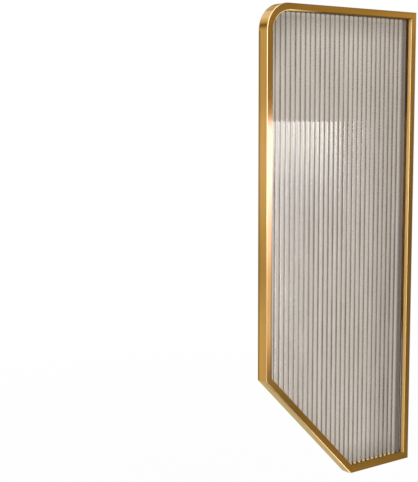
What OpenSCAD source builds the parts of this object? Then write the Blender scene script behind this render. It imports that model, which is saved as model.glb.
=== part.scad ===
// Urinal privacy screen: a fluted glass pane in a slim metal frame, hung on a wall by one edge.
// The wall is the plane X = 0, the screen reaches out along +X and +Z is up.
// The fluted side of the glass faces +Y, which is called the near side.
// The origin is on the wall, halfway up the screen and halfway through its thickness.

/* [Screen] */
// Height of the screen
screen_h = 1000; // [700:5:1400]
// How far the screen reaches out from the wall
screen_w = 420; // [340:5:600]
// How far the sloping lower edge climbs up the front
slope_rise = 240; // [120:5:300]
// How far the sloping lower edge runs back along the bottom
slope_run = 240; // [120:5:250]
// Outside radius of the rounded top front corner
bend_r = 56; // [35:1:80]

/* [Frame section] */
// Width of the frame members as seen on the face of the screen
face_w = 15; // [14:0.5:22]
// Thickness of the frame members
frame_t = 28; // [24:0.5:36]
// Wall of the hollow section
wall_t = 1.5; // [1.2:0.1:1.8]
// Thickness of the section's two sides
cheek_t = 2; // [1.6:0.1:2.5]
// Radius along the section's two outer edges
edge_r = 1.8; // [0.5:0.1:1.9]
// Radius along its two inner edges, beside the glass
lip_r = 0.6; // [0.3:0.1:1.5]
// Depth of the groove that takes the glass
groove_d = 8; // [6:0.5:9]

/* [Glass and glazing] */
// Thickness of the glass over the crest of a flute
glass_t = 6; // [5:0.5:8]
// Distance between flutes
flute_pitch = 13.3; // [8:0.1:20]
// Depth of a flute from crest to valley
flute_depth = 1.2; // [0.6:0.1:2]
// Gap between the glass edge and the floor of the groove
glass_edge_gap = 3; // [2.5:0.1:3.5]
// Thickness of the space for a gasket, on each side of the glass
gasket_t = 1; // [0.8:0.1:2]
// Clearance left on each face of a gasket
gasket_clear = 0.05; // [0:0.01:0.1]
// How far a gasket lies back from the edge of the groove
gasket_set_back = 0.8; // [0:0.1:1.5]
// Length of a setting block
block_l = 30; // [20:1:50]
// Room between a setting block and each side of the groove
block_clear = 0.5; // [0.2:0.1:1]

/* [Joints] */
// Room round a key or tenon in its chamber
key_clear = 0.1; // [0.05:0.01:0.2]
// Length of each leg of a corner key
key_leg = 32; // [26:1:50]
// Distance from a corner to the screw in each leg
key_screw_at = 22; // [17:1:24]
// Length of the tenons on the rounded corner piece
tenon_l = 25; // [20:1:40]
// Distance from the end of the rounded corner piece to the screw in its tenon
tenon_screw_at = 13; // [8:1:16]
// Width of the shadow line beside the rounded corner piece
joint_line_w = 0.5; // [0.4:0.1:3]
// Depth of that shadow line
joint_line_d = 0.3; // [0.2:0.1:0.8]

/* [Screws] */
// Thread diameter of the small screws
screw_d = 3; // [2.5:0.5:3]
// Head diameter of the key screws
screw_head_d = 5.6; // [5:0.1:6]
// Head height of the key screws
screw_head_h = 2; // [1.5:0.1:2.2]
// Size across the flats of the hexagon socket in the key screws
key_socket_af = 2; // [1.5:0.1:2.5]
// Size across the flats of the hexagon socket in the lock screws
lock_socket_af = 1.5; // [1.2:0.1:1.6]
// Depth of the hexagon sockets
socket_depth = 1.2; // [0.8:0.1:1.4]
// Clearance round a thread in its tapped hole
thread_clear = 0.05; // [0.02:0.01:0.1]
// Clearance round a screw in a plain hole
hole_clear = 0.2; // [0.1:0.05:0.4]

/* [Wall channel] */
// Thickness of the base that lies on the wall
channel_base_t = 1.5; // [1.2:0.1:2]
// Thickness of the channel's two legs
channel_leg_t = 2.2; // [1.8:0.1:3]
// Room between the channel and the wall stile
channel_clear = 0.2; // [0.1:0.05:0.5]
// Gap between the end of the channel and the corner key above or below it
channel_end_gap = 6; // [2:1:20]
// Diameter of the holes for the wall screws
wall_hole_d = 5; // [4:0.5:7]
// Distance from the end of the screen to the nearest wall hole
wall_hole_end = 100; // [60:5:140]
// Distance between the two middle wall holes
wall_hole_mid = 260; // [100:5:300]
// Distance from the end of the screen to the nearest lock screw
lock_screw_end = 150; // [80:5:200]
// Depth of a lock screw's outer end below the side of the stile
lock_screw_sink = 0.2; // [0:0.1:0.5]
// How far a lock screw's tip passes the channel's leg
lock_screw_past = 0.5; // [0:0.1:1]

/* [Hidden] */

gold = [0.72, 0.52, 0.22];
cut = 1; // how far a cutting shape runs past what it cuts
smooth = 96; // facets of the round shapes when the model is previewed
$fn = smooth;
bend_steps = 24; // steps in the rounded corner of the glass and the gaskets

// Distances measured inwards from the outer edge of the frame
groove_floor = face_w - groove_d;
chamber_end = groove_floor - wall_t;
glass_edge = groove_floor + glass_edge_gap;
gasket_inner = face_w - gasket_set_back;

// Widths across the thickness of the frame
groove_w = glass_t + 2 * gasket_t;
key_w = frame_t - 2 * cheek_t;
lip_chamber_w = (frame_t - groove_w) / 2 - wall_t - cheek_t;
channel_w = key_w - 2 * channel_clear;

// The outline's corners in the XZ plane, clockwise from the top of the wall edge.
// The second corner is where the top and front edges would meet without the bend.
corners = [
    [0, screen_h / 2],
    [screen_w, screen_h / 2],
    [screen_w, slope_rise - screen_h / 2],
    [screen_w - slope_run, -screen_h / 2],
    [0, -screen_h / 2]
];
// Each edge starts at the corner of the same number
EDGES = ["top", "front", "slope", "bottom", "wall"];
function edge_number(name) = search([name], EDGES)[0];
top_edge = edge_number("top");
front_edge = edge_number("front");
slope_edge = edge_number("slope");
bottom_edge = edge_number("bottom");
wall_edge = edge_number("wall");

bend_centre = [screen_w - bend_r, screen_h / 2 - bend_r];
channel_half = screen_h / 2 - key_leg - channel_end_gap;
channel_h = chamber_end - channel_clear;
lock_screw_x = (channel_base_t + channel_h) / 2;
wall_hole_zs = [
    for (side = [-1, 1])
        each [side * (screen_h / 2 - wall_hole_end), side * wall_hole_mid / 2]
];
lock_screw_zs = [for (step = [-1, 0, 1]) step * (screen_h / 2 - lock_screw_end)];

function wrap(i) = (i + len(corners)) % len(corners);
function corner(i) = corners[wrap(i)];
function edge_length(i) = norm(corner(i + 1) - corner(i));
function edge_dir(i) = (corner(i + 1) - corner(i)) / edge_length(i);
function edge_in(i) = [edge_dir(i).y, -edge_dir(i).x];

// The point inside corner i that is this far from both of its edges
function inset(i, distance) =
    let (a = edge_in(i - 1), b = edge_in(i))
    corner(i) + distance * (a + b) / (1 + a * b);

// The rounded corner's line, drawn in by a distance
function bend_points(distance) = [
    for (step = [0:bend_steps])
        let (turn = 90 * step / bend_steps)
            bend_centre + (bend_r - distance) * [sin(turn), cos(turn)]
];

// The outline's line along edges first to last, drawn in by a distance
function outline_points(first, last, distance) = concat(
    [inset(first, distance)],
    first == top_edge ? bend_points(distance) : [],
    [inset(last + 1, distance)]
);

// Where the screws sit: edge, and distance along it
key_screw_spots = [
    for (i = [top_edge, slope_edge, bottom_edge, wall_edge])
        each [[i - 1, edge_length(i - 1) - key_screw_at], [i, key_screw_at]],
    [top_edge, screen_w - bend_r - tenon_screw_at],
    [front_edge, bend_r + tenon_screw_at]
];

// ---- placing ----

// Puts a shape on edge i: its Z runs along the edge, its X points into the screen
module along_edge(i, distance = 0) {
    turn = atan2(edge_dir(i).x, edge_dir(i).y);
    translate([corner(i).x, 0, corner(i).y])
        rotate([0, turn, 0])
            translate([0, 0, distance])
                children();
}

// Thickens a drawing in the XZ plane to both sides of a plane of constant Y
module across(thickness, at = 0) {
    translate([0, at, 0])
        rotate([90, 0, 0])
            linear_extrude(thickness, center = true)
                children();
}

// The part of the screen's face between the mitre lines of edges first to last
module mitre_zone(first, last) {
    reach = bend_r + face_w;
    polygon(concat(
        [for (i = [first:last + 1]) inset(i, -cut)],
        [for (i = [last + 1:-1:first]) inset(i, reach)]
    ));
}

// The screen's outline, drawn in by a distance, with its rounded corner in short steps
module inset_outline(distance) {
    polygon(concat(
        outline_points(top_edge, front_edge, distance),
        [inset(3, distance), inset(4, distance)]
    ));
}

// ---- frame section: X is the distance in from the outer edge, Y the thickness ----

// A rectangle with rounded corners, of another radius at its outer and its inner end
module rounded_box(w, h, outer_r, inner_r) {
    translate([outer_r, -h / 2]) square([w - outer_r - inner_r, h]);
    translate([0, outer_r - h / 2]) square([w / 2, h - 2 * outer_r]);
    translate([w / 2, inner_r - h / 2]) square([w / 2, h - 2 * inner_r]);
    for (side = [-1, 1]) {
        translate([outer_r, side * (h / 2 - outer_r)]) circle(outer_r);
        translate([w - inner_r, side * (h / 2 - inner_r)]) circle(inner_r);
    }
}

module solid_section() {
    difference() {
        rounded_box(face_w, frame_t, edge_r, lip_r);
        translate([groove_floor, -groove_w / 2]) square([groove_d + cut, groove_w]);
    }
}

// The extruded section. An open back makes room for the wall channel.
module hollow_section(open_back = false) {
    chamber_start = open_back ? -cut : wall_t;
    difference() {
        solid_section();
        translate([chamber_start, -key_w / 2]) square([chamber_end - chamber_start, key_w]);
        for (side = [0, 1])
            mirror([0, side])
                translate([groove_floor, groove_w / 2 + wall_t])
                    square([groove_d - wall_t, lip_chamber_w]);
    }
}

// ---- frame members ----

// A length of the section along edge i, cut at the mitre lines where it reaches a corner
module member(i, start, end, open_back = false) {
    intersection() {
        along_edge(i, start) linear_extrude(end - start) hollow_section(open_back);
        across(frame_t + 2 * cut) mitre_zone(i, i);
    }
}

// Holes through the groove floor for the key screws on edge i
module key_screw_holes(i) {
    for (spot = key_screw_spots)
        if (wrap(spot[0]) == i)
            along_edge(i, spot[1])
                translate([chamber_end - cut, 0, 0])
                    rotate([0, 90, 0])
                        cylinder(h = wall_t + 2 * cut, d = screw_d + 2 * hole_clear);
}

// A shallow groove across the outer face at the end of a member, beside the rounded corner piece
module joint_line(i, distance) {
    along_edge(i, distance)
        translate([-cut, edge_r - frame_t / 2, 0])
            cube([joint_line_d + cut, frame_t - 2 * edge_r, joint_line_w + cut]);
}

module wall_stile() {
    color(gold) difference() {
        member(wall_edge, -cut, screen_h + cut, open_back = true);
        key_screw_holes(wall_edge);
        for (z = lock_screw_zs)
            translate([lock_screw_x, -frame_t / 2 - cut, z])
                rotate([-90, 0, 0])
                    cylinder(h = cheek_t + 2 * cut, d = screw_d + 2 * thread_clear);
    }
}

module top_rail() {
    end = screen_w - bend_r;
    color(gold) difference() {
        member(top_edge, -cut, end);
        key_screw_holes(top_edge);
        joint_line(top_edge, end - joint_line_w);
    }
}

module front_stile() {
    color(gold) difference() {
        member(front_edge, bend_r, edge_length(front_edge) + cut);
        key_screw_holes(front_edge);
        joint_line(front_edge, bend_r - cut);
    }
}

module slope_rail() {
    color(gold) difference() {
        member(slope_edge, -cut, edge_length(slope_edge) + cut);
        key_screw_holes(slope_edge);
    }
}

module bottom_rail() {
    color(gold) difference() {
        member(bottom_edge, -cut, edge_length(bottom_edge) + cut);
        key_screw_holes(bottom_edge);
    }
}

// A tenon that fills the key chamber of edge i over a stretch of it
module tenon(i, start, end, screw_at) {
    difference() {
        along_edge(i, start)
            translate([wall_t + key_clear, key_clear - key_w / 2, 0])
                cube([chamber_end - wall_t - 2 * key_clear, key_w - 2 * key_clear, end - start]);
        along_edge(i, screw_at) tapped_hole();
    }
}

// A hole across the key chamber that takes a key screw's thread
module tapped_hole() {
    rotate([0, 90, 0]) cylinder(h = groove_floor, d = screw_d + 2 * thread_clear);
}

// The cast corner piece with a tenon at each end
module corner_bend() {
    root = 1; // how far a tenon is rooted in the casting
    top_end = screen_w - bend_r;
    color([0.76, 0.56, 0.25]) {
        translate([bend_centre.x, 0, bend_centre.y])
            rotate([90, 0, 0])
                rotate_extrude(angle = 90)
                    translate([bend_r, 0]) mirror([1, 0]) solid_section();
        tenon(top_edge, top_end - tenon_l, top_end + root, top_end - tenon_screw_at);
        tenon(front_edge, bend_r - root, bend_r + tenon_l, bend_r + tenon_screw_at);
    }
}

// ---- joints ----

// A bent bar that fills the key chambers on both sides of corner i
module corner_key(i) {
    outer = wall_t + key_clear;
    inner = chamber_end - key_clear;
    before = corner(i) - edge_dir(i - 1) * key_leg;
    after = corner(i) + edge_dir(i) * key_leg;
    color("darkgray")
        difference() {
            across(key_w - 2 * key_clear)
                polygon([
                    inset(i, outer),
                    after + edge_in(i) * outer,
                    after + edge_in(i) * inner,
                    inset(i, inner),
                    before + edge_in(i - 1) * inner,
                    before + edge_in(i - 1) * outer
                ]);
            along_edge(i - 1, edge_length(i - 1) - key_screw_at) tapped_hole();
            along_edge(i, key_screw_at) tapped_hole();
        }
}

module top_wall_key() {
    corner_key(top_edge);
}
module slope_top_key() {
    corner_key(slope_edge);
}
module slope_bottom_key() {
    corner_key(bottom_edge);
}
module bottom_wall_key() {
    corner_key(wall_edge);
}

module hex_socket(across_flats) {
    cylinder(h = socket_depth + cut, d = across_flats / cos(30), $fn = 6);
}

// A screw whose head rests on the groove floor and whose thread runs out through the key
module key_screw() {
    thread_end = wall_t + 2 * key_clear;
    difference() {
        union() {
            translate([thread_end, 0, 0])
                rotate([0, 90, 0]) cylinder(h = groove_floor - thread_end + cut, d = screw_d);
            translate([groove_floor, 0, 0])
                rotate([0, 90, 0]) cylinder(h = screw_head_h, d = screw_head_d);
        }
        translate([groove_floor + screw_head_h - socket_depth, 0, 0])
            rotate([0, 90, 0]) hex_socket(key_socket_af);
    }
}

module key_screws() {
    color("silver")
        for (spot = key_screw_spots)
            along_edge(spot[0], spot[1]) key_screw();
}

// ---- wall fixing ----

module wall_channel() {
    color([0.75, 0.76, 0.78])
        difference() {
            translate([0, -channel_w / 2, -channel_half])
                cube([channel_h, channel_w, 2 * channel_half]);
            translate([channel_base_t, channel_leg_t - channel_w / 2, -channel_half - cut])
                cube([
                    channel_h,
                    channel_w - 2 * channel_leg_t,
                    2 * (channel_half + cut)
                ]);
            for (z = wall_hole_zs)
                translate([-cut, 0, z])
                    rotate([0, 90, 0])
                        cylinder(h = channel_base_t + 2 * cut, d = wall_hole_d);
            for (z = lock_screw_zs)
                translate([lock_screw_x, -channel_w / 2 - cut, z])
                    rotate([-90, 0, 0])
                        cylinder(h = channel_leg_t + 2 * cut, d = screw_d + 2 * thread_clear);
        }
}

module lock_screws() {
    start = lock_screw_sink - frame_t / 2;
    end = channel_leg_t - channel_w / 2 + lock_screw_past;
    color([0.3, 0.3, 0.32])
        for (z = lock_screw_zs)
            translate([lock_screw_x, start, z])
                rotate([-90, 0, 0])
                    difference() {
                        cylinder(h = end - start, d = screw_d);
                        translate([0, 0, -cut]) hex_socket(lock_socket_af);
                    }
}

// ---- glass and glazing ----

// One flute's strip of glass: flat at the back, with an arc across the front
module flute_strip() {
    half_pitch = flute_pitch / 2;
    flute_r = (half_pitch * half_pitch + flute_depth * flute_depth) / (2 * flute_depth);
    intersection() {
        translate([-half_pitch, -glass_t / 2]) square([flute_pitch, glass_t]);
        translate([0, glass_t / 2 - flute_r]) circle(flute_r);
    }
}

module glass_pane() {
    flutes_each_way = ceil((screen_w / 2 - glass_edge) / flute_pitch);
    color([0.8, 0.78, 0.72, 0.6])
        intersection() {
            for (n = [-flutes_each_way:flutes_each_way])
                translate([screen_w / 2 + n * flute_pitch, 0, -screen_h / 2])
                    linear_extrude(screen_h) flute_strip();
            across(glass_t + 2 * cut) inset_outline(glass_edge);
        }
}

// A gasket strip along edges first to last, on the near side (1) or the far side (-1)
module gasket(first, last, side) {
    outer = outline_points(first, last, glass_edge);
    inner = outline_points(first, last, gasket_inner);
    color([0.08, 0.08, 0.08])
        across(gasket_t - 2 * gasket_clear, side * (glass_t + gasket_t) / 2)
            polygon(concat(outer, [for (n = [len(inner) - 1:-1:0]) inner[n]]));
}

module near_gasket_wall() {
    gasket(wall_edge, wall_edge, 1);
}
module near_gasket_front() {
    gasket(top_edge, front_edge, 1);
}
module near_gasket_slope() {
    gasket(slope_edge, slope_edge, 1);
}
module near_gasket_bottom() {
    gasket(bottom_edge, bottom_edge, 1);
}
module far_gasket_wall() {
    gasket(wall_edge, wall_edge, -1);
}
module far_gasket_front() {
    gasket(top_edge, front_edge, -1);
}
module far_gasket_slope() {
    gasket(slope_edge, slope_edge, -1);
}
module far_gasket_bottom() {
    gasket(bottom_edge, bottom_edge, -1);
}

// A block in the groove of edge i, between the groove floor and the glass edge
module glazing_block(i, middle) {
    width = groove_w - 2 * block_clear;
    along_edge(i, middle - block_l / 2)
        translate([groove_floor, -width / 2, 0])
            cube([glass_edge_gap, width, block_l]);
}

// The blocks that carry the glass, a third of the way from each end of the two lower rails
module setting_blocks() {
    color([0.15, 0.15, 0.16])
        for (i = [slope_edge, bottom_edge], share = [1 / 3, 2 / 3])
            glazing_block(i, share * edge_length(i));
}

// The same blocks beside the glass, a quarter of the way from each end of the two stiles
module side_spacers() {
    color([0.15, 0.15, 0.16])
        for (i = [front_edge, wall_edge], share = [1 / 4, 3 / 4])
            glazing_block(i, share * edge_length(i));
}

wall_stile();
top_rail();
corner_bend();
front_stile();
slope_rail();
bottom_rail();
top_wall_key();
slope_top_key();
slope_bottom_key();
bottom_wall_key();
key_screws();
wall_channel();
lock_screws();
glass_pane();
near_gasket_wall();
near_gasket_front();
near_gasket_slope();
near_gasket_bottom();
far_gasket_wall();
far_gasket_front();
far_gasket_slope();
far_gasket_bottom();
setting_blocks();
side_spacers();
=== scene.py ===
"""Looks of a wall-hung privacy screen: upright fluted glass in a slim brushed gold frame.

Lengths are in metres, in the part's own frame: the wall is the plane X = 0, the fluted side
of the glass faces +Y, +Z is up and the origin is on the wall, halfway up the screen.
"""

import math

import bmesh
import bpy
from mathutils import Matrix, Vector

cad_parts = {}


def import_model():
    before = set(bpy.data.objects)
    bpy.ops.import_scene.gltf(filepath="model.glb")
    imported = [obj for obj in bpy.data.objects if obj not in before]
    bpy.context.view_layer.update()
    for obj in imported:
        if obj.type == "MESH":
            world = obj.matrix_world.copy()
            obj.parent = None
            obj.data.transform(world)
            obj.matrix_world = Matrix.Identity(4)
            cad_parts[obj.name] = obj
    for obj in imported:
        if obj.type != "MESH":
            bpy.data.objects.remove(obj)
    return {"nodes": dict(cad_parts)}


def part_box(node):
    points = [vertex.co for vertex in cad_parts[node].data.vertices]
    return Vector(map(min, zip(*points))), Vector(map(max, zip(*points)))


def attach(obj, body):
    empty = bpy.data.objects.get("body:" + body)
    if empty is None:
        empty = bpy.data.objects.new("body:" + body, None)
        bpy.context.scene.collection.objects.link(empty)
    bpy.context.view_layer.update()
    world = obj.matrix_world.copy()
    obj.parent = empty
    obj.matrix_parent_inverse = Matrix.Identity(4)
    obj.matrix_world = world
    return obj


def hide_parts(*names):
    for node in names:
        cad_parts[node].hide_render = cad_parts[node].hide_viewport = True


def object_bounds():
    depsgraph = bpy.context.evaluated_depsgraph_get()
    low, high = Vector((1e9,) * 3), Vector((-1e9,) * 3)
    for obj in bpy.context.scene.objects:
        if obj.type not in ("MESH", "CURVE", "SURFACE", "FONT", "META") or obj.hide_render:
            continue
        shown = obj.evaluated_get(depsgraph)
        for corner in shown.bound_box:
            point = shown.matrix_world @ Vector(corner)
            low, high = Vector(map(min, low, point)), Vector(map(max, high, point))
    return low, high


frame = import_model()
cad_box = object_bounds()

MM = 0.001

# ---- sizes taken from the frame ----

SCREEN_LOW, SCREEN_HIGH = cad_box
GLASS_LOW, GLASS_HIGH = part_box("glass_pane")
TOP_RAIL_LOW, TOP_RAIL_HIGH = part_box("top_rail")

SCREEN_W = SCREEN_HIGH.x
FACE_W = SCREEN_HIGH.z - TOP_RAIL_LOW.z
GLASS_EDGE = GLASS_LOW.x

# the bend starts where the top rail ends
BEND_X = TOP_RAIL_HIGH.x
BEND_R = SCREEN_W - BEND_X
BEND_Z = SCREEN_HIGH.z - BEND_R

# ---- sizes of the outline and the flutes ----

# the corner that the sloping rail cuts off
SLOPE_RISE = 240 * MM
SLOPE_RUN = 240 * MM
SLOPE_LENGTH = math.hypot(SLOPE_RISE, SLOPE_RUN)
STEEPNESS = SLOPE_RISE / SLOPE_RUN

FLUTE_PITCH = 13.3 * MM
FLUTE_DEPTH = 1.2 * MM

# ---- shader nodes ----

# most of a Noise texture's values lie between these
NOISE_SPAN = (0.3, 0.7)


def principled(name):
    """A new node material: (material, its tree, its Principled shader)."""
    material = bpy.data.materials.new(name)
    material.use_nodes = True
    tree = material.node_tree
    return material, tree, tree.nodes["Principled BSDF"]


def node(tree, kind, **settings):
    """A new node with these properties set, and inputs set where the name is an input's."""
    made = tree.nodes.new(kind)
    for name, value in settings.items():
        if hasattr(made, name):
            setattr(made, name, value)
        else:
            made.inputs[name].default_value = value
    return made


def feed(tree, socket, value):
    """Gives an input its value: an output, a number, or a colour's three numbers."""
    if isinstance(value, bpy.types.NodeSocket):
        tree.links.new(value, socket)
    elif isinstance(value, tuple):
        socket.default_value = (*value, 1)
    else:
        socket.default_value = value


def math_node(tree, operation, *values):
    """The output of a Math node. A value is a number or an output."""
    made = node(tree, "ShaderNodeMath", operation=operation)
    for socket, value in zip(made.inputs, values):
        feed(tree, socket, value)
    return made.outputs[0]


def product(tree, first, second):
    """One value times the other."""
    return math_node(tree, "MULTIPLY", first, second)


def object_point(tree):
    """The point on the piece, in the part's frame."""
    return tree.nodes.new("ShaderNodeTexCoord").outputs["Object"]


def xyz(tree, vector):
    """The three outputs X, Y and Z of a vector."""
    parts = tree.nodes.new("ShaderNodeSeparateXYZ")
    tree.links.new(vector, parts.inputs[0])
    return parts.outputs


def combined(tree, *values):
    """A vector from three outputs or numbers."""
    made = tree.nodes.new("ShaderNodeCombineXYZ")
    for socket, value in zip(made.inputs, values):
        feed(tree, socket, value)
    return made.outputs[0]


def stretched(tree, vector, scale):
    """The vector with each part times its scale."""
    made = node(tree, "ShaderNodeVectorMath", operation="MULTIPLY")
    tree.links.new(vector, made.inputs[0])
    made.inputs[1].default_value = scale
    return made.outputs[0]


def noise(tree, vector, scale=1, detail=2):
    """The grey output of a Noise texture."""
    made = node(tree, "ShaderNodeTexNoise", Scale=scale, Detail=detail)
    tree.links.new(vector, made.inputs["Vector"])
    return made.outputs[0]


def mapped(tree, value, span, ends=(0, 1)):
    """The value, carried from a span to these ends and held there outside the span."""
    made = node(tree, "ShaderNodeMapRange")
    tree.links.new(value, made.inputs["Value"])
    for name, number in zip(("From Min", "From Max", "To Min", "To Max"), (*span, *ends)):
        made.inputs[name].default_value = number
    return made.outputs[0]


def mixed(tree, share, first, second):
    """A colour between two colours. Each is three numbers or an output."""
    made = node(tree, "ShaderNodeMix", data_type="RGBA")
    tree.links.new(share, made.inputs["Factor"])
    # a Mix node keeps its two colours behind the inputs for numbers and vectors
    feed(tree, made.inputs[6], first)
    feed(tree, made.inputs[7], second)
    return made.outputs[2]


def bump(tree, shader, height, distance, strength):
    """Raises the surface by a height from 0 to 1 times a distance."""
    made = node(tree, "ShaderNodeBump", Strength=strength, Distance=distance)
    tree.links.new(height, made.inputs["Height"])
    tree.links.new(made.outputs[0], shader.inputs["Normal"])


# ---- gold ----

GOLD = (0.51, 0.29, 0.1)
GOLD_DEEP = (0.44, 0.245, 0.08)
# painted shade, mixed into the gold on arrises, on the front stile and on lips beside the glass
PAINTED_SHADE = (0.16, 0.09, 0.025)

# how fine the brushed lines, streaks and patches are along the grain and the two ways across
LINES_SCALE = (6, 2600, 2600)
STREAKS_SCALE = (5, 260, 260)
PATCHES_SCALE = (14, 45, 45)
STREAKS_SHARE = 0.6
TONE_SPAN = (0.35, 0.65)
LINES_ROUGHNESS = (0.12, 0.19)
LINES_DEPTH = 0.02 * MM
LINES_STRENGTH = 0.35
LACQUER_ROUGHNESS = 0.08

# colours of the lips that face the glass, painted on them in place of light and shade: the
# pale ones are painted highlights and reflections, the dark ones painted shade
LIP_PAINTED_LIGHT = (1.0, 0.63, 0.18)
TOP_LIP_PAINTED_SHADE = (0.14, 0.075, 0.012)
WARM_LIP_PAINTED_LIGHT = (0.62, 0.45, 0.18)
BEND_LIP_PAINTED_HIGHLIGHT = (1.0, 0.8, 0.4)
SLOPE_LIP_PAINTED_SHADE = (0.4, 0.21, 0.026)
BOTTOM_LIP_PAINTED_SHADE = (0.22, 0.113, 0.01)
FAR_LIP_PAINTED_LIGHT = (1.0, 0.84, 0.5)

# how far from the inner edge a lip's colour starts, and how far before that it comes in
LIP_AT = 0.1 * MM
LIP_FADE = 0.3 * MM
LIP_METAL = 0.35
LIP_ROUGHNESS = 0.6

# Y where the lips change from the far side's look to the near side's, and where the painted
# shade on them beside the glass ends
NEAR_SIDE_Y = (-1 * MM, 1 * MM)
LIP_PAINTED_SHADE_Y = (4.5 * MM, 8.5 * MM)
LIP_PAINTED_SHADE = 0.75

# where the painted light on the top rail's lips and on the bend's comes in
TOP_LIP_X = (BEND_X - 90 * MM, BEND_X)
BEND_LIP_Z = (BEND_Z, BEND_Z + 30 * MM)

# painted shade on an outer arris, by how far in from the outline
ARRIS_IN = (1 * MM, 2 * MM)
ARRIS_PAINTED_SHADE = 0.7

# painted shade on the front stile's outer face, towards the back
OUTER_FACE_IN = (1.5 * MM, 2 * MM)
OUTER_FACE_Y = (-11.5 * MM, -5.5 * MM)

# painted shade on the front stile's near face, towards the glass and downwards
NEAR_FACE_IN = (FACE_W - 6.5 * MM, FACE_W - 1.5 * MM)
NEAR_FACE_Y = (SCREEN_HIGH.y - 2 * MM, SCREEN_HIGH.y - 1 * MM)
NEAR_FACE_Z = (20 * MM, 160 * MM)
NEAR_FACE_PAINTED_SHADE = 0.7


def grain_along(run, rise):
    """The grain of a straight member that runs this way in the XZ plane."""

    def grain(tree):
        turn = node(tree, "ShaderNodeVectorRotate", rotation_type="Y_AXIS")
        turn.inputs["Angle"].default_value = math.atan2(rise, run)
        tree.links.new(object_point(tree), turn.inputs["Vector"])
        return turn.outputs[0]

    return grain


def grain_round_bend(tree):
    """A vector whose X runs round the bend, Y across it and Z away from its centre."""
    x, y, z = xyz(tree, object_point(tree))
    out = math_node(tree, "SUBTRACT", x, BEND_X)
    up = math_node(tree, "SUBTRACT", z, BEND_Z)
    angle = math_node(tree, "ARCTAN2", up, out)
    squares = math_node(tree, "ADD", product(tree, out, out), product(tree, up, up))
    radius = math_node(tree, "SQRT", squares)
    return combined(tree, product(tree, angle, BEND_R), y, radius)


def depth_in_member(tree):
    """How far a point on a straight member lies in from the screen's outline."""
    x, _, z = xyz(tree, object_point(tree))
    to_front = math_node(tree, "SUBTRACT", SCREEN_W, x)
    to_top = math_node(tree, "SUBTRACT", SCREEN_HIGH.z, z)
    to_bottom = math_node(tree, "SUBTRACT", z, SCREEN_LOW.z)
    upward = product(tree, to_bottom, SLOPE_RUN)
    inward = product(tree, to_front, SLOPE_RISE)
    from_corner = math_node(tree, "ADD", upward, inward)
    from_slope = math_node(tree, "SUBTRACT", from_corner, SLOPE_RISE * SLOPE_RUN)
    depth = math_node(tree, "DIVIDE", from_slope, SLOPE_LENGTH)
    for other in (x, to_front, to_top, to_bottom):
        depth = math_node(tree, "MINIMUM", depth, other)
    return depth


def depth_in_bend(tree):
    """How far a point on the bend lies in from the screen's outline."""
    radius = xyz(tree, grain_round_bend(tree))[2]
    return math_node(tree, "SUBTRACT", BEND_R, radius)


def arris_shade(tree, inward):
    """How much painted shade a member gets on its outer arris."""
    return mapped(tree, inward, ARRIS_IN, (ARRIS_PAINTED_SHADE, 0))


def front_shade(tree, inward):
    """How much painted shade the front stile gets: at the back, and low down beside the glass."""
    _, y, z = xyz(tree, object_point(tree))
    on_outer_face = mapped(tree, inward, OUTER_FACE_IN, (1, 0))
    at_back = product(tree, mapped(tree, y, OUTER_FACE_Y, (1, 0)), on_outer_face)
    by_glass = mapped(tree, inward, NEAR_FACE_IN, (0, NEAR_FACE_PAINTED_SHADE))
    on_near_face = product(tree, by_glass, mapped(tree, y, NEAR_FACE_Y))
    low_down = product(tree, on_near_face, mapped(tree, z, NEAR_FACE_Z, (1, 0)))
    return math_node(tree, "MAXIMUM", at_back, low_down)


def top_lip(tree):
    """The top rail's lips: painted shade, turning to painted light towards the bend."""
    x = xyz(tree, object_point(tree))[0]
    return mixed(tree, mapped(tree, x, TOP_LIP_X), TOP_LIP_PAINTED_SHADE, WARM_LIP_PAINTED_LIGHT)


def bend_lip(tree):
    """The bend's lips: a painted highlight, giving way to deep gold towards the front stile."""
    z = xyz(tree, object_point(tree))[2]
    return mixed(tree, mapped(tree, z, BEND_LIP_Z), GOLD_DEEP, BEND_LIP_PAINTED_HIGHLIGHT)


def bottom_lip(tree):
    """The bottom rail's lips: painted light on the one behind the glass, painted shade on the near
    one.
    """
    y = xyz(tree, object_point(tree))[1]
    return mixed(tree, mapped(tree, y, NEAR_SIDE_Y), FAR_LIP_PAINTED_LIGHT, BOTTOM_LIP_PAINTED_SHADE)


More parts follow.
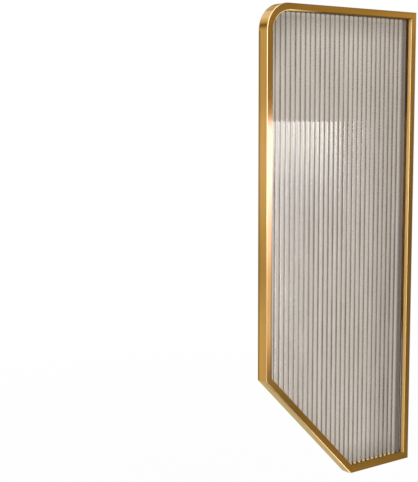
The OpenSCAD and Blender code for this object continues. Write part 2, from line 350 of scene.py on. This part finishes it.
def gold(
    name,
    grain,
    depth=depth_in_member,
    lip=LIP_PAINTED_LIGHT,
    lip_metal=LIP_METAL,
    lip_at=LIP_AT,
    matt_lip=False,
    shade=None,
):
    """Brushed gold under clear lacquer.

    grain(tree) gives a vector whose X runs along the grain, and depth(tree) how far in a point
    is. lip is the colour of the lips that face the glass, which paints light and shade on them,
    or lip(tree) gives it. lip_metal is how metallic they are, lip_at how far from the inner edge
    that colour starts, and matt_lip says that they have no lacquer and a rougher finish.
    shade(tree, inward) gives how much painted shade a point gets.
    """
    material, tree, shader = principled(name)
    along = grain(tree)
    lines = noise(tree, stretched(tree, along, LINES_SCALE), detail=3)
    streaks = noise(tree, stretched(tree, along, STREAKS_SCALE))
    patches = noise(tree, stretched(tree, along, PATCHES_SCALE))
    streaks = product(tree, streaks, STREAKS_SHARE)
    patches = product(tree, patches, 1 - STREAKS_SHARE)
    tone = mapped(tree, math_node(tree, "ADD", streaks, patches), TONE_SPAN)

    inward = depth(tree)
    lip_line = FACE_W - lip_at
    on_lip = mapped(tree, inward, (lip_line - LIP_FADE, lip_line))
    lip_colour = lip(tree) if callable(lip) else lip
    colour = mixed(tree, on_lip, mixed(tree, tone, GOLD_DEEP, GOLD), lip_colour)
    if shade:
        colour = mixed(tree, shade(tree, inward), colour, PAINTED_SHADE)
    # painted shade on the near side's lips beside the glass
    y = xyz(tree, object_point(tree))[1]
    near_side = mapped(tree, y, NEAR_SIDE_Y, (0, LIP_PAINTED_SHADE))
    by_glass = product(tree, near_side, mapped(tree, y, LIP_PAINTED_SHADE_Y, (1, 0)))
    colour = mixed(tree, product(tree, by_glass, on_lip), colour, PAINTED_SHADE)

    roughness = mapped(tree, lines, NOISE_SPAN, LINES_ROUGHNESS)
    shader.inputs["Coat Weight"].default_value = 1
    if matt_lip:
        rougher = product(tree, on_lip, LIP_ROUGHNESS)
        roughness = math_node(tree, "ADD", roughness, rougher)
        tree.links.new(math_node(tree, "SUBTRACT", 1, on_lip), shader.inputs["Coat Weight"])
    tree.links.new(colour, shader.inputs["Base Color"])
    tree.links.new(roughness, shader.inputs["Roughness"])
    tree.links.new(mapped(tree, on_lip, (0, 1), (1, lip_metal)), shader.inputs["Metallic"])
    shader.inputs["Coat Roughness"].default_value = LACQUER_ROUGHNESS
    bump(tree, shader, lines, LINES_DEPTH, LINES_STRENGTH)
    return material


# ---- glass ----

GLASS_BAND = (0.67, 0.613, 0.556)
GLASS_CLOUD = (0.612, 0.55, 0.484)
# painted shade for the valleys between the flutes, darker than their refraction alone makes them
GLASS_VALLEY_SHADE = (0.12, 0.095, 0.075)
GLASS_DARK = (0.05, 0.045, 0.04)
GLASS_IOR = 1.5
GLASS_CLARITY = 0.7

STREAK_SCALE = (70, 1, 7)
CLOUD_SCALE = (5, 1, 4)
CLOUD_SPAN = (0.35, 0.7)
RIPPLE_SCALE = (40, 40, 9)
RIPPLE_ROUGHNESS = (0.02, 0.06)

# shares of a flute's width, from 0 in the valley to 0.5 on the crest
VALLEY = (0.04, 0.17)
CREST = (0.14, 0.26)
STREAK_REACH = 0.035
# the valleys' painted shade widens towards the wall stile
WIDER_VALLEY = 0.055
WIDER_VALLEY_X = (30 * MM, 100 * MM)

# how much darker a flute can be than its neighbours
FLUTE_TONE = 0.06

# shade beside the rails, by the distance from them: it grows, then fades
RAIL_SHADE = 0.25
RAIL_SHADE_GROWS = (2 * MM, 11 * MM)
RAIL_SHADE_FADES = (11 * MM, 50 * MM)

# shade along the wall stile, stronger low down
WALL_SHADE_GROWS = (36 * MM, 52 * MM)
WALL_SHADE_FADES = (75 * MM, 125 * MM)
WALL_SHADE_Z = (-150 * MM, 150 * MM)
WALL_SHADE = (0.2, 0.1)

# shade in the corner beside the bend
BEND_SHADE = 0.24
BEND_SHADE_X = (325 * MM, 390 * MM)
BEND_SHADE_Z = (360 * MM, 440 * MM)

# painted shade beside the wall stile: a grey strip, and a dark rim in it, which fades low down
GLASS_STRIP_SHADE = (0.225, 0.237, 0.272)
GLASS_RIM_SHADE = (0.052, 0.024, 0.004)
STRIP_X = (32 * MM, 36 * MM)
RIM_X = (18 * MM, 20 * MM)
RIM_Z = (-430 * MM, -180 * MM)
RIM_SHARE = (0.1, 1)

# painted highlights at the flutes' lower ends, and painted shade in the gaps between them
GLASS_BEAD_HIGHLIGHT = (1.0, 0.88, 0.62)
GLASS_GAP_SHADE = (0.12, 0.06, 0.015)
BEAD_CLARITY = 0.3
BEAD_REACH = (3 * MM, 5 * MM)


def flute_colour(tree, x, from_valley):
    """Pale and cloudy along each flute, with painted shade in the streaky valleys."""
    point = object_point(tree)
    streaks = noise(tree, stretched(tree, point, STREAK_SCALE), detail=3)
    uneven = mapped(tree, streaks, NOISE_SPAN, (-STREAK_REACH, STREAK_REACH))
    place = math_node(tree, "ADD", from_valley, uneven)
    wider = mapped(tree, x, WIDER_VALLEY_X, (WIDER_VALLEY, 0))
    band = mapped(tree, math_node(tree, "SUBTRACT", place, wider), VALLEY)
    clouds = noise(tree, stretched(tree, point, CLOUD_SCALE), detail=3)
    pale = mixed(tree, mapped(tree, clouds, CLOUD_SPAN), GLASS_BAND, GLASS_CLOUD)
    return mixed(tree, band, GLASS_VALLEY_SHADE, pale)


def rail_shade(tree, above, below):
    """How far the glass is in shade, from the distances to the lower and the upper rail."""
    nearest = math_node(tree, "MINIMUM", above, below)
    growing = mapped(tree, nearest, RAIL_SHADE_GROWS)
    return product(tree, growing, mapped(tree, nearest, RAIL_SHADE_FADES, (RAIL_SHADE, 0)))


def flute_tone(tree, phase):
    """How dark a flute is made, differently for each."""
    number = math_node(tree, "FLOOR", phase)
    draw = node(tree, "ShaderNodeTexWhiteNoise", noise_dimensions="1D")
    tree.links.new(number, draw.inputs["W"])
    return product(tree, draw.outputs["Value"], FLUTE_TONE)


def side_shade(tree, x, z):
    """How far the glass is in shade along the wall stile and beside the bend."""
    growing = mapped(tree, x, WALL_SHADE_GROWS)
    by_wall = product(tree, growing, mapped(tree, x, WALL_SHADE_FADES, (1, 0)))
    by_wall = product(tree, by_wall, mapped(tree, z, WALL_SHADE_Z, WALL_SHADE))
    by_bend = mapped(tree, x, BEND_SHADE_X, (0, BEND_SHADE))
    by_bend = product(tree, by_bend, mapped(tree, z, BEND_SHADE_Z))
    return math_node(tree, "MAXIMUM", by_wall, by_bend)


def fluted_glass():
    """Smoked glass, with painted shade in its valleys and beside the frame, and painted bead
    highlights.
    """
    material, tree, shader = principled("fluted_glass")
    x, _, z = xyz(tree, object_point(tree))
    from_middle = math_node(tree, "SUBTRACT", x, SCREEN_W / 2)
    flutes = math_node(tree, "DIVIDE", from_middle, FLUTE_PITCH)
    phase = math_node(tree, "ADD", flutes, 0.5)
    from_valley = math_node(tree, "PINGPONG", phase, 0.5)
    above = math_node(tree, "SUBTRACT", z, SCREEN_LOW.z + FACE_W)
    below = math_node(tree, "SUBTRACT", SCREEN_HIGH.z - FACE_W, z)

    colour = flute_colour(tree, x, from_valley)
    colour = mixed(tree, rail_shade(tree, above, below), colour, GLASS_DARK)
    colour = mixed(tree, flute_tone(tree, phase), colour, GLASS_DARK)
    colour = mixed(tree, side_shade(tree, x, z), colour, GLASS_DARK)

    # painted highlights at the flutes' lower ends, less clear glass there, and painted shade
    # between
    at_end = mapped(tree, above, BEAD_REACH, (1, 0))
    crest = mapped(tree, from_valley, CREST)
    colour = mixed(tree, at_end, colour, mixed(tree, crest, GLASS_GAP_SHADE, GLASS_BEAD_HIGHLIGHT))
    bead = product(tree, crest, at_end)
    clarity = mapped(tree, bead, (0, 1), (GLASS_CLARITY, BEAD_CLARITY))

    # painted shade beside the wall stile; the rim is made metallic so that it shows no pale sheen
    colour = mixed(tree, mapped(tree, x, STRIP_X, (1, 0)), colour, GLASS_STRIP_SHADE)
    rim = mapped(tree, x, RIM_X, (1, 0))
    rim = product(tree, rim, mapped(tree, z, RIM_Z, RIM_SHARE))
    colour = mixed(tree, rim, colour, GLASS_RIM_SHADE)

    ripple = noise(tree, stretched(tree, object_point(tree), RIPPLE_SCALE))
    roughness = mapped(tree, ripple, NOISE_SPAN, RIPPLE_ROUGHNESS)
    tree.links.new(colour, shader.inputs["Base Color"])
    tree.links.new(rim, shader.inputs["Metallic"])
    tree.links.new(clarity, shader.inputs["Transmission Weight"])
    tree.links.new(roughness, shader.inputs["Roughness"])
    shader.inputs["IOR"].default_value = GLASS_IOR
    return material


# ---- rubber and bare metal ----

SKIN_SCALE = 900
SKIN_DEPTH = 0.03 * MM
SKIN_STRENGTH = 0.4
SKIN_ROUGHER = 0.06

MARKS_STRENGTH = 0.5
MARKS_SMOOTHER = 0.05
MARKS_ROUGHER = 0.07


def rubber(name, dark, light, roughness):
    """Matt rubber with a fine, uneven skin, between two greys."""
    material, tree, shader = principled(name)
    skin = noise(tree, object_point(tree), scale=SKIN_SCALE, detail=4)
    colour = mixed(tree, mapped(tree, skin, NOISE_SPAN), (dark,) * 3, (light,) * 3)
    ends = (roughness - SKIN_ROUGHER, roughness + SKIN_ROUGHER)
    tree.links.new(colour, shader.inputs["Base Color"])
    tree.links.new(mapped(tree, skin, NOISE_SPAN, ends), shader.inputs["Roughness"])
    bump(tree, shader, skin, SKIN_DEPTH, SKIN_STRENGTH)
    return material


def bare_metal(name, dark, light, roughness, scale, depth):
    """Plain metal. scale gives how fine its marks are along X, Y and Z."""
    material, tree, shader = principled(name)
    marks = noise(tree, stretched(tree, object_point(tree), scale), detail=3)
    colour = mixed(tree, mapped(tree, marks, NOISE_SPAN), dark, light)
    ends = (roughness - MARKS_SMOOTHER, roughness + MARKS_ROUGHER)
    tree.links.new(colour, shader.inputs["Base Color"])
    tree.links.new(mapped(tree, marks, NOISE_SPAN, ends), shader.inputs["Roughness"])
    shader.inputs["Metallic"].default_value = 1
    bump(tree, shader, marks, depth, MARKS_STRENGTH)
    return material


# ---- materials on the pieces that come from the frame ----


def dress(names, material):
    """Gives a material to these nodes of the part."""
    for name in names:
        slots = frame["nodes"][name].material_slots
        slots[0].material = material


UPRIGHT_GRAIN = grain_along(0, 1)
LEVEL_GRAIN = grain_along(1, 0)
SLOPE_GRAIN = grain_along(-SLOPE_RUN, -SLOPE_RISE)

dress(["wall_stile"], gold("gold_wall", UPRIGHT_GRAIN, shade=arris_shade))
dress(["front_stile"], gold("gold_front", UPRIGHT_GRAIN, shade=front_shade))
dress(
    ["top_rail"],
    gold(
        "gold_top",
        LEVEL_GRAIN,
        lip=top_lip,
        lip_metal=1,
        lip_at=2 * MM,
        matt_lip=True,
    ),
)
dress(
    ["bottom_rail"],
    gold(
        "gold_bottom",
        LEVEL_GRAIN,
        lip=bottom_lip,
        lip_metal=1,
        matt_lip=True,
        shade=arris_shade,
    ),
)
dress(
    ["slope_rail"],
    gold("gold_slope", SLOPE_GRAIN, lip=SLOPE_LIP_PAINTED_SHADE, lip_metal=1, matt_lip=True),
)
dress(
    ["corner_bend"],
    gold(
        "gold_bend",
        grain_round_bend,
        depth=depth_in_bend,
        lip=bend_lip,
        lip_at=0.6 * MM,
        matt_lip=True,
    ),
)

EDGES = ("wall", "front", "slope", "bottom")
dress(
    [f"{side}_gasket_{edge}" for side in ("near", "far") for edge in EDGES],
    rubber("gasket_rubber", dark=0.02, light=0.035, roughness=0.6),
)
dress(
    ["setting_blocks", "side_spacers"],
    rubber("block_rubber", dark=0.03, light=0.06, roughness=0.65),
)
dress(
    ["top_wall_key", "slope_top_key", "slope_bottom_key", "bottom_wall_key"],
    bare_metal(
        "cast_alloy",
        dark=(0.42, 0.43, 0.45),
        light=(0.6, 0.61, 0.63),
        roughness=0.5,
        scale=(700, 700, 700),
        depth=0.05 * MM,
    ),
)
dress(
    ["wall_channel"],
    bare_metal(
        "mill_alloy",
        dark=(0.62, 0.63, 0.65),
        light=(0.76, 0.77, 0.79),
        roughness=0.36,
        scale=(2200, 2200, 8),
        depth=0.02 * MM,
    ),
)
dress(
    ["key_screws", "lock_screws"],
    bare_metal(
        "screw_steel",
        dark=(0.42, 0.42, 0.43),
        light=(0.58, 0.58, 0.6),
        roughness=0.28,
        scale=(1500, 1500, 1500),
        depth=0.01 * MM,
    ),
)

# ---- the glass pane, whose flutes are smooth here ----

# steps across one flute and round the bend, and the least step that is kept
FLUTE_STEPS = 14
ARC_STEPS = 24
LEAST_STEP = 0.02 * MM

# how near a valley a column of points counts as in it, as a share of a flute
IN_VALLEY = 0.01

# how far the pane's sloping edge lies above the screen's outline, and where it starts
SLOPE_LIFT = GLASS_EDGE * math.hypot(1, STEEPNESS)
SLOPE_START = SCREEN_W - SLOPE_RUN + (GLASS_EDGE - SLOPE_LIFT) / STEEPNESS


def glass_top(x):
    """Height of the glass's upper edge at x."""
    if x <= BEND_X:
        return GLASS_HIGH.z
    radius = BEND_R - GLASS_EDGE
    return BEND_Z + math.sqrt(max(radius**2 - (x - BEND_X) ** 2, 0))


def glass_bottom(x):
    """Height of the glass's lower edge at x: level, then up the slope."""
    outline = SCREEN_LOW.z + (x - (SCREEN_W - SLOPE_RUN)) * STEEPNESS
    return max(GLASS_LOW.z, outline + SLOPE_LIFT)


def flute_face(x):
    """Y of the fluted side at x."""
    half = FLUTE_PITCH / 2
    radius = (half**2 + FLUTE_DEPTH**2) / (2 * FLUTE_DEPTH)
    from_crest = (x - SCREEN_W / 2 + half) % FLUTE_PITCH - half
    return GLASS_HIGH.y - radius + math.sqrt(radius**2 - from_crest**2)


def glass_stations():
    """The places across the pane where its mesh has a column of points."""
    step = FLUTE_PITCH / FLUTE_STEPS
    reach = math.ceil(SCREEN_W / 2 / step)
    places = [SCREEN_W / 2 + n * step for n in range(-reach, reach + 1)]
    arc = BEND_R - GLASS_EDGE
    places += [BEND_X + arc * math.sin(math.pi / 2 * n / ARC_STEPS) for n in range(ARC_STEPS)]
    places += [GLASS_LOW.x, GLASS_HIGH.x, SLOPE_START]
    inside = sorted(x for x in places if GLASS_LOW.x <= x <= GLASS_HIGH.x)
    kept = [inside[0]]
    for x in inside[1:]:
        if x - kept[-1] > LEAST_STEP:
            kept.append(x)
    kept[-1] = GLASS_HIGH.x
    return kept


def is_valley(x):
    """True where two flutes meet."""
    phase = ((x - SCREEN_W / 2) / FLUTE_PITCH + 0.5) % 1
    return min(phase, 1 - phase) < IN_VALLEY


def glass_pane():
    """The pane. At each station it has two points on the fluted side and two on the far side."""
    mesh = bmesh.new()
    columns = []
    for x in glass_stations():
        low = glass_bottom(x)
        high = glass_top(x)
        near = flute_face(x)
        far = GLASS_LOW.y
        corners = ((near, low), (near, high), (far, high), (far, low))
        columns.append([mesh.verts.new((x, y, z)) for y, z in corners])
    mesh.faces.new(columns[0])
    mesh.faces.new(reversed(columns[-1]))
    for left, right in zip(columns, columns[1:]):
        for n in range(4):
            after = (n + 1) % 4
            face = mesh.faces.new((left[n], right[n], right[after], left[after]))
            face.smooth = n in (0, 2)
    for column in columns:
        if is_valley(column[0].co.x):
            edge = mesh.edges.get(column[:2])
            edge.smooth = False
    bmesh.ops.recalc_face_normals(mesh, faces=mesh.faces)
    data = bpy.data.meshes.new("fluted_pane")
    mesh.to_mesh(data)
    mesh.free()
    made = bpy.data.objects.new("fluted_pane", data)
    bpy.context.scene.collection.objects.link(made)
    data.materials.append(fluted_glass())
    return made


pane = glass_pane()
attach(pane, "root")
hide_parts("glass_pane")

# ---- camera ----

# the picture's height spans the sensor
PHOTO_H = 482
FOCAL_PIXELS = 1059.6
SENSOR = 36.0
CLIP_START = 0.05
CAMERA_AT = Vector((1754.85, 1640.7, 276.1)) * MM
CAMERA_FORWARD = Vector((-0.58711, -0.80108, -0.11650))
CAMERA_UP = Vector((-0.07116, -0.09228, 0.99319))

camera_data = bpy.data.cameras.new("camera")
camera_data.sensor_width = SENSOR
camera_data.lens = FOCAL_PIXELS * SENSOR / PHOTO_H
camera_data.clip_start = CLIP_START
camera = bpy.data.objects.new("camera", camera_data)
bpy.context.scene.collection.objects.link(camera)
bpy.context.scene.camera = camera
back = -CAMERA_FORWARD.normalized()
right = CAMERA_UP.cross(back).normalized()
up = back.cross(right)
turned = Matrix((right, up, back)).transposed().to_4x4()
camera.matrix_world = Matrix.Translation(CAMERA_AT) @ turned

# ---- floor and world ----

FLOOR_Z = -1.1
FLOOR_HALF = 12.0
FLOOR_GREY = (0.9, 0.9, 0.9)
FLOOR_ROUGHNESS = 0.9
ROOM_GREY = (0.9, 0.9, 0.9)
ROOM_STRENGTH = 0.8

# how much of what is seen of the floor is its white glow, by the distance from the origin:
# less near the part, so that the shadow shows, and all of it far out
FLOOR_GLOW = (0.95, 1)
FLOOR_GLOW_REACH = (1.5, 5.0)


def seen_directly(tree):
    """1 for rays from the camera and for what metal and glass show, else 0."""
    path = tree.nodes.new("ShaderNodeLightPath").outputs
    either = math_node(tree, "MAXIMUM", path["Is Camera Ray"], path["Is Glossy Ray"])
    return math_node(tree, "MAXIMUM", either, path["Is Transmission Ray"])


def blended(tree, share, first, second):
    """The output of a Mix Shader node."""
    made = tree.nodes.new("ShaderNodeMixShader")
    tree.links.new(share, made.inputs["Fac"])
    tree.links.new(first.outputs[0], made.inputs[1])
    tree.links.new(second.outputs[0], made.inputs[2])
    return made.outputs[0]


def sheet(name, corners, material):
    """A four-cornered sheet of the stage."""
    mesh = bpy.data.meshes.new(name)
    mesh.from_pydata(corners, [], [(0, 1, 2, 3)])
    made = bpy.data.objects.new(name, mesh)
    bpy.context.scene.collection.objects.link(made)
    mesh.materials.append(material)
    return made


def upright(start, end, low, high):
    """The corners of an upright sheet between two points of the floor plan."""
    return [(*start, low), (*end, low), (*end, high), (*start, high)]


def level(low, high, z):
    """The corners of a level sheet between two corners of the floor plan."""
    return [(low[0], low[1], z), (high[0], low[1], z), (high[0], high[1], z), (low[0], high[1], z)]


def floor():
    """A floor that looks white and keeps the part's shadow."""
    material, tree, shader = principled("floor")
    feed(tree, shader.inputs["Base Color"], FLOOR_GREY)
    shader.inputs["Roughness"].default_value = FLOOR_ROUGHNESS
    shader.inputs["Specular IOR Level"].default_value = 0
    white = node(tree, "ShaderNodeEmission", Strength=1)
    reach = node(tree, "ShaderNodeVectorMath", operation="LENGTH")
    tree.links.new(object_point(tree), reach.inputs[0])
    glow = mapped(tree, reach.outputs["Value"], FLOOR_GLOW_REACH, FLOOR_GLOW)
    share = product(tree, seen_directly(tree), glow)
    surface = blended(tree, share, shader, white)
    tree.links.new(surface, tree.nodes["Material Output"].inputs["Surface"])
    half = FLOOR_HALF
    sheet("floor", level((-half, -half), (half, half), FLOOR_Z), material)


def world():
    """A grey room for the light, and white where it is seen."""
    made = bpy.data.worlds.new("studio")
    bpy.context.scene.world = made
    made.use_nodes = True
    tree = made.node_tree
    room = tree.nodes["Background"]
    feed(tree, room.inputs["Color"], ROOM_GREY)
    room.inputs["Strength"].default_value = ROOM_STRENGTH
    white = node(tree, "ShaderNodeBackground", Strength=1)
    feed(tree, white.inputs["Color"], (1, 1, 1))
    surface = blended(tree, seen_directly(tree), room, white)
    tree.links.new(surface, tree.nodes["World Output"].inputs["Surface"])


floor()
world()

# ---- glowing cards that gloss mirrors ----


def strength_along(tree, place, stops):
    """A strength from (place, strength) pairs, the lowest place first."""
    strength = stops[0][1]
    for (low, before), (high, after) in zip(stops, stops[1:]):
        step = mapped(tree, place, (low, high), (0, after - before))
        strength = math_node(tree, "ADD", step, strength)
    return strength


def colour_along(tree, place, stops):
    """A colour from (place, colour) pairs, the lowest place first."""
    colour = stops[0][1]
    for (low, _), (high, after) in zip(stops, stops[1:]):
        colour = mixed(tree, mapped(tree, place, (low, high)), colour, after)
    return colour


def card(name, corners, colours, strengths, along="Z", one_sided=False):
    """A glowing card that only gloss shows.

    strengths is one number, or (place, strength) pairs, and colours one colour, or (place,
    colour) pairs. A place is a height, or an X where the card changes along X. A one-sided card
    isn't there for what looks at its back.
    """
    if isinstance(colours, tuple):
        colours = [(0, colours)]
    if not isinstance(strengths, list):
        strengths = [(0, strengths)]
    material = bpy.data.materials.new(name)
    material.use_nodes = True
    tree = material.node_tree
    tree.nodes.clear()
    place = xyz(tree, object_point(tree))[along]
    glow = tree.nodes.new("ShaderNodeEmission")
    feed(tree, glow.inputs["Strength"], strength_along(tree, place, strengths))
    feed(tree, glow.inputs["Color"], colour_along(tree, place, colours))
    surface = glow.outputs[0]
    if one_sided:
        side = tree.nodes.new("ShaderNodeNewGeometry")
        nothing = tree.nodes.new("ShaderNodeBsdfTransparent")
        surface = blended(tree, side.outputs["Backfacing"], glow, nothing)
    output = tree.nodes.new("ShaderNodeOutputMaterial")
    tree.links.new(surface, output.inputs["Surface"])
    made = sheet(name, corners, material)
    made.visible_camera = False
    made.visible_diffuse = False
    made.visible_transmission = False
    made.visible_shadow = False


def along_line(line, distance, behind):
    """A point of the floor plan, this far along a line and this far behind it.

    line is the X where it leaves the screen, and its turn from +X in degrees.
    """
    foot, degrees = line
    turn = math.radians(degrees)
    x = foot + distance * math.cos(turn) - behind * math.sin(turn)
    y = distance * math.sin(turn) + behind * math.cos(turn)
    return (x, y)


def upright_on(line, near, far, low, high, behind=0):
    """The corners of an upright sheet along a line of the floor plan, or this far behind it."""
    start = along_line(line, near, behind)
    end = along_line(line, far, behind)
    return upright(start, end, low, high)


# colours of the cards, the warmest first
DEEP = (1.0, 0.85, 0.27)
BRONZE = (1.0, 0.82, 0.29)
EMBER = (1.0, 0.9, 0.4)
RUST = (1.0, 0.91, 0.45)
HONEY = (1.0, 0.9, 0.47)
SAND = (1.0, 0.87, 0.48)
GLEAM = (1.0, 0.88, 0.5)
WHEAT = (1.0, 0.93, 0.55)
AMBER = (1.0, 0.91, 0.61)
STRAW = (1.0, 0.99, 0.74)
NOON = (1.0, 0.98, 0.8)
DUSK = (1.0, 0.98, 0.85)
SKY = (1.0, 1.06, 0.86)
PALE = (1.0, 0.98, 1.02)
CREAM = (1.0, 0.98, 1.3)
FROST = (1.0, 1.1, 1.6)
DAY = (1.0, 1.0, 1.95)

# The windows stand in front of the fluted side, along lines of the floor plan. They give the
# bright reflection in the glass, which ends at their top, and the one on the front stile.
WINDOW_LINE = (0.1, 100)
CLOSE_LINE = (0.2, 114)
SIDE_LINE = (0.27, 92)

# distances along those lines, and heights
WINDOW_NEAR = 0.37
WINDOW_SPLIT = 0.56
WINDOW_FAR = 3.0
WINDOW_LOW = -0.5
WINDOW_TOP = 0.264
FRAME_BEHIND = 0.01
CLOSE_NEAR = 0.04
CLOSE_FAR = 0.4
CLOSE_LOW = -0.3
SIDE_NEAR = 0.36
SIDE_LOW = -0.9

# the two cards behind the wall stile, side by side along Y
RIGHT_X = -0.4
RIGHT_BACK_Y = -1.0
RIGHT_SPLIT_Y = 0.2
RIGHT_FRONT_Y = 2.3
FLAG_TOP = 2.0

# the four cards behind the far side: two side by side along X, and two above the first
LEFT_Y = -1.5
LEFT_BACK_X = -2.0
LEFT_SKY_X = 0.3
LEFT_SPLIT_X = 0.8
LEFT_FRONT_X = 2.8
LEFT_SPLIT_Z = 1.5
LEFT_SKY_TOP = 2.2
ROOM_TOP = 3.2

# the three cards below, of which two lie side by side under the sloping rail
BELOW_Z = -1.0
LOW_FLAG_CORNER = (-1.4, -2.2)
LOW_FLAG_X = 1.0
UNDER_BACK_X = -0.1
UNDER_FRONT_X = 0.6
UNDER_BACK_Y = -0.3
UNDER_SPLIT_Y = 0.13
UNDER_FRONT_Y = 0.5

# the card in front, and the one above
FRONT_START = (0.5, 2.5)
FRONT_END = (3.4, 0.3)
FRONT_LOW = -0.3
CEILING_CORNERS = ((-0.5, 0.05), (3.5, 3.0))

card(
    "window_near",
    upright_on(WINDOW_LINE, WINDOW_NEAR, WINDOW_SPLIT, WINDOW_LOW, WINDOW_TOP),
    [(-0.44, EMBER), (-0.36, GLEAM), (-0.29, DUSK), (-0.15, DUSK), (0.1, DAY)],
    [
        (-0.44, 0.37),
        (-0.4, 0.5),
        (-0.365, 0.82),
        (-0.287, 1.55),
        (-0.21, 1.36),
        (-0.132, 1.52),
        (-0.055, 2.33),
        (0.023, 2.65),
        (0.1, 3.2),
    ],
)
card(
    "window_close",
    upright_on(CLOSE_LINE, CLOSE_NEAR, CLOSE_FAR, CLOSE_LOW, WINDOW_TOP),
    NOON,
    [
        (CLOSE_LOW, 0.5),
        (-0.1, 1.2),
        (0.05, 1.4),
        (0.12, 1.7),
        (0.17, 4.2),
        (0.21, 6.6),
        (WINDOW_TOP, 8.0),
    ],
    one_sided=True,
)
card(
    "side_window",
    upright_on(SIDE_LINE, SIDE_NEAR, WINDOW_FAR, SIDE_LOW, WINDOW_TOP),
    PALE,
    [(SIDE_LOW, 4.5), (-0.1, 7.5)],
)
card(
    "window_far",
    upright_on(WINDOW_LINE, WINDOW_SPLIT, WINDOW_FAR, WINDOW_LOW, WINDOW_TOP),
    PALE,
    [
        (-0.43, 0.42),
        (-0.365, 0.83),
        (-0.287, 1.4),
        (-0.21, 1.38),
        (-0.132, 1.6),
        (-0.055, 2.3),
        (0.023, 3.5),
        (0.1, 6.2),
    ],
)
card(
    "window_frame",
    upright_on(WINDOW_LINE, WINDOW_NEAR, WINDOW_FAR, FLOOR_Z, FLAG_TOP, behind=FRAME_BEHIND),
    BRONZE,
    [
        (-0.7, 0.3),
        (-0.6, 0.26),
        (-0.2, 0.26),
        (0.0, 0.3),
        (WINDOW_TOP, 0.5),
        (0.5, 0.46),
        (0.535, 0.62),
        (0.56, 0.4),
    ],
)
card(
    "right_flag",
    upright((RIGHT_X, RIGHT_SPLIT_Y), (RIGHT_X, RIGHT_FRONT_Y), FLOOR_Z, FLAG_TOP),
    BRONZE,
    [
        (-0.9, 0.5),
        (-0.7, 0.44),
        (-0.56, 0.37),
        (-0.41, 0.33),
        (0.03, 0.33),
        (0.18, 0.4),
        (0.33, 0.47),
        (0.48, 0.56),
        (0.545, 0.85),
        (0.56, 0.64),
        (0.6, 0.56),
        (0.72, 0.56),
        (0.8, 0.2),
    ],
)
card(
    "back_flag",
    upright((RIGHT_X, RIGHT_BACK_Y), (RIGHT_X, RIGHT_SPLIT_Y), FLOOR_Z, FLAG_TOP),
    PALE,
    0.9,
)
card(
    "left_flag",
    upright((LEFT_BACK_X, LEFT_Y), (LEFT_SPLIT_X, LEFT_Y), FLOOR_Z, LEFT_SPLIT_Z),
    BRONZE,
    0.42,
)
card(
    "left_wall",
    upright((LEFT_SPLIT_X, LEFT_Y), (LEFT_FRONT_X, LEFT_Y), FLOOR_Z, ROOM_TOP),
    [
        (-0.15, RUST),
        (0.1, AMBER),
        (0.4, RUST),
        (0.7, RUST),
        (0.94, DEEP),
        (1.21, DEEP),
        (1.44, AMBER),
        (1.62, SKY),
    ],
    [
        (-0.67, 1.04),
        (-0.56, 1.07),
        (-0.44, 0.9),
        (-0.33, 0.72),
        (-0.21, 0.82),
        (-0.1, 1.0),
        (0.02, 1.18),
        (0.25, 1.2),
        (0.33, 0.92),
        (0.6, 0.97),
        (0.7, 0.97),
        (0.78, 0.85),
        (0.86, 0.64),
        (0.93, 0.45),
        (1.02, 0.24),
        (1.07, 0.24),
        (1.18, 0.62),
        (1.26, 0.98),
        (1.34, 1.05),
        (1.46, 1.25),
        (1.6, 1.48),
        (1.8, 1.5),
    ],
)
card(
    "left_sky",
    upright((LEFT_SKY_X, LEFT_Y), (LEFT_SPLIT_X, LEFT_Y), LEFT_SPLIT_Z, LEFT_SKY_TOP),
    STRAW,
    1.32,
)
card(
    "left_shade",
    upright((LEFT_BACK_X, LEFT_Y), (LEFT_SKY_X, LEFT_Y), LEFT_SPLIT_Z, LEFT_SKY_TOP),
    SAND,
    0.75,
)
card(
    "low_flag",
    level(LOW_FLAG_CORNER, (LOW_FLAG_X, UNDER_BACK_Y), BELOW_Z),
    HONEY,
    0.72,
)
card(
    "low_middle",
    level((UNDER_BACK_X, UNDER_BACK_Y), (UNDER_FRONT_X, UNDER_SPLIT_Y), BELOW_Z),
    WHEAT,
    [(0.2, 1.1), (0.3, 0.6), (0.4, 0.2)],
    along="X",
)
card(
    "low_glow",
    level((UNDER_BACK_X, UNDER_SPLIT_Y), (UNDER_FRONT_X, UNDER_FRONT_Y), BELOW_Z),
    FROST,
    [(0.2, 6.5), (0.26, 3.8), (0.31, 1.7), (0.37, 0.4), (0.44, 0.05)],
    along="X",
)
card(
    "front_card",
    upright(FRONT_START, FRONT_END, FRONT_LOW, ROOM_TOP),
    CREAM,
    [(FRONT_LOW, 1.25), (-0.1, 4.4)],
)
card("ceiling", level(*CEILING_CORNERS, ROOM_TOP), CREAM, 5.0)

# ---- lamp ----

KEY_AT = Vector((1.5, 2.7, 1.9))
KEY_AIM = Vector((0.2, 0, 0.2))
KEY_W = 1.4
KEY_H = 3.0
KEY_WATTS = 53

lamp = bpy.data.lights.new("key", "AREA")
lamp.shape = "RECTANGLE"
lamp.size = KEY_W
lamp.size_y = KEY_H
lamp.energy = KEY_WATTS
key = bpy.data.objects.new("key", lamp)
bpy.context.scene.collection.objects.link(key)
key.location = KEY_AT
key.rotation_mode = "QUATERNION"
key.rotation_quaternion = (KEY_AIM - KEY_AT).to_track_quat("-Z", "Y")
key.visible_camera = False
key.visible_glossy = False

bpy.context.scene.view_settings.view_transform = "Standard"
